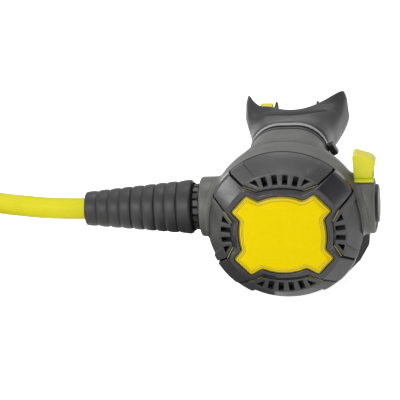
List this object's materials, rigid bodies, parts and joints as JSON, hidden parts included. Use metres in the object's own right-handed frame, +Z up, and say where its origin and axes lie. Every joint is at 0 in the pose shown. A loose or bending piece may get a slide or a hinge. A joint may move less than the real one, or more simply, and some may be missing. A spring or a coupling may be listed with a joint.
{
  "type": "scuba regulator second stage with hose",
  "caption": "Diving demand valve with vented round cover, cross-shaped purge button, mouthpiece, venturi lever, exhaust tee and a coiled low-pressure hose with its threaded end.",
  "frame": {"origin": "middle of the small flat under the case rim that the regulator stands on, straight below the valve axis and the middle of the cover", "axes": "+Z up, +X along the valve axis away from the hose, +Y back through the mouthpiece towards the diver; the purge cover faces -Y"},
  "size_m": [0.3499, 0.1299, 0.0766],
  "materials": {
    "case_plastic": "fine satin texture",
    "frame_plastic": "satin gloss",
    "badge_yellow": "satin moulded",
    "lever_yellow": "translucent moulded",
    "inner_plastic": "moulded",
    "nut_plastic": "knurled",
    "tee_rubber": "matt",
    "mouth_rubber": "soft matt silicone",
    "bite_yellow": "soft silicone",
    "tie_nylon": "pale nylon edge",
    "boot_rubber": "matt ribbed",
    "hose_cover": "matt",
    "plated_brass": "satin plated",
    "steel": "bright",
    "seal_rubber": "satin",
    "silicone": "clear silicone",
    "strap_fabric": "woven strap"
  },
  "bodies": {
    "hose": {"hose_boot": "boot_rubber", "hose_stem": "plated_brass", "stem_o_ring": "seal_rubber", "hose_ferrule": "steel", "hose_end": "hose_cover", "hose_run": "hose_cover", "hose_coil": "hose_cover", "coil_ties": "strap_fabric", "far_ferrule": "steel", "far_fitting": "plated_brass", "far_o_ring": "seal_rubber"},
    "second_stage": {"housing": "case_plastic", "cover_ring": "case_plastic", "x_frame": "frame_plastic", "cover_spider": "inner_plastic", "purge_spring": "steel", "diaphragm": "silicone", "valve_barrel": "plated_brass", "barrel_nut": "plated_brass", "barrel_o_ring": "seal_rubber", "orifice": "plated_brass", "orifice_o_ring": "seal_rubber", "poppet_spring": "steel", "spring_plug": "plated_brass", "venturi_o_ring": "seal_rubber", "lever_nut": "plated_brass", "end_cap": "frame_plastic", "end_cap_o_ring": "seal_rubber", "exhaust_tee": "tee_rubber", "mouthpiece": "mouth_rubber", "bite_pads": "bite_yellow", "mouthpiece_tie": "tie_nylon", "tie_head": "inner_plastic", "hose_nut": "nut_plastic"},
    "purge": {"purge_button": "badge_yellow"},
    "plate": {"diaphragm_plate": "steel"},
    "lever": {"demand_lever": "steel"},
    "poppet": {"poppet": "inner_plastic", "poppet_seat": "seal_rubber", "poppet_nut": "plated_brass"},
    "venturi": {"venturi_lever": "lever_yellow", "venturi_vane": "inner_plastic"},
    "exhaust_flap": {"exhaust_valve": "silicone"}
  },
  "joints": [
    {"name": "hose_swivel", "type": "hinge", "parent": "hose", "child": "second_stage", "pos_m": [0, 0, 0.043], "axis": [1, 0, 0], "continuous": true},
    {"name": "purge_press", "type": "slide", "parent": "second_stage", "child": "purge", "axis": [0, 1, 0], "range_m": [0, 0.0025], "stiffness_N_per_m": 400, "springref_m": -0.004, "deforming": ["purge_spring", "diaphragm"]},
    {"name": "plate_travel", "type": "slide", "parent": "second_stage", "child": "plate", "axis": [0, 1, 0], "range_m": [0, 0.0025]},
    {"name": "lever_swing", "type": "hinge", "parent": "second_stage", "child": "lever", "pos_m": [0.008, -0.0045, 0.043], "axis": [0, 0, -1], "range_deg": [0, 8]},
    {"name": "poppet_lift", "type": "slide", "parent": "second_stage", "child": "poppet", "axis": [1, 0, 0], "range_m": [0, 0.0008], "deforming": ["poppet_spring"]},
    {"name": "venturi_turn", "type": "hinge", "parent": "second_stage", "child": "venturi", "pos_m": [0.04, 0, 0.043], "axis": [-1, 0, 0], "range_deg": [0, 60]},
    {"name": "exhaust_lift", "type": "slide", "parent": "second_stage", "child": "exhaust_flap", "axis": [0, 1, 0], "range_m": [0, 0.0012], "stiffness_N_per_m": 50}
  ],
  "couplings": [
    {"joint": "plate_travel", "follows": "purge_press", "ratio": 1},
    {"joint": "lever_swing", "follows": "purge_press", "rad_per_m": 55.556},
    {"joint": "poppet_lift", "follows": "purge_press", "ratio": 0.3056}
  ]
}
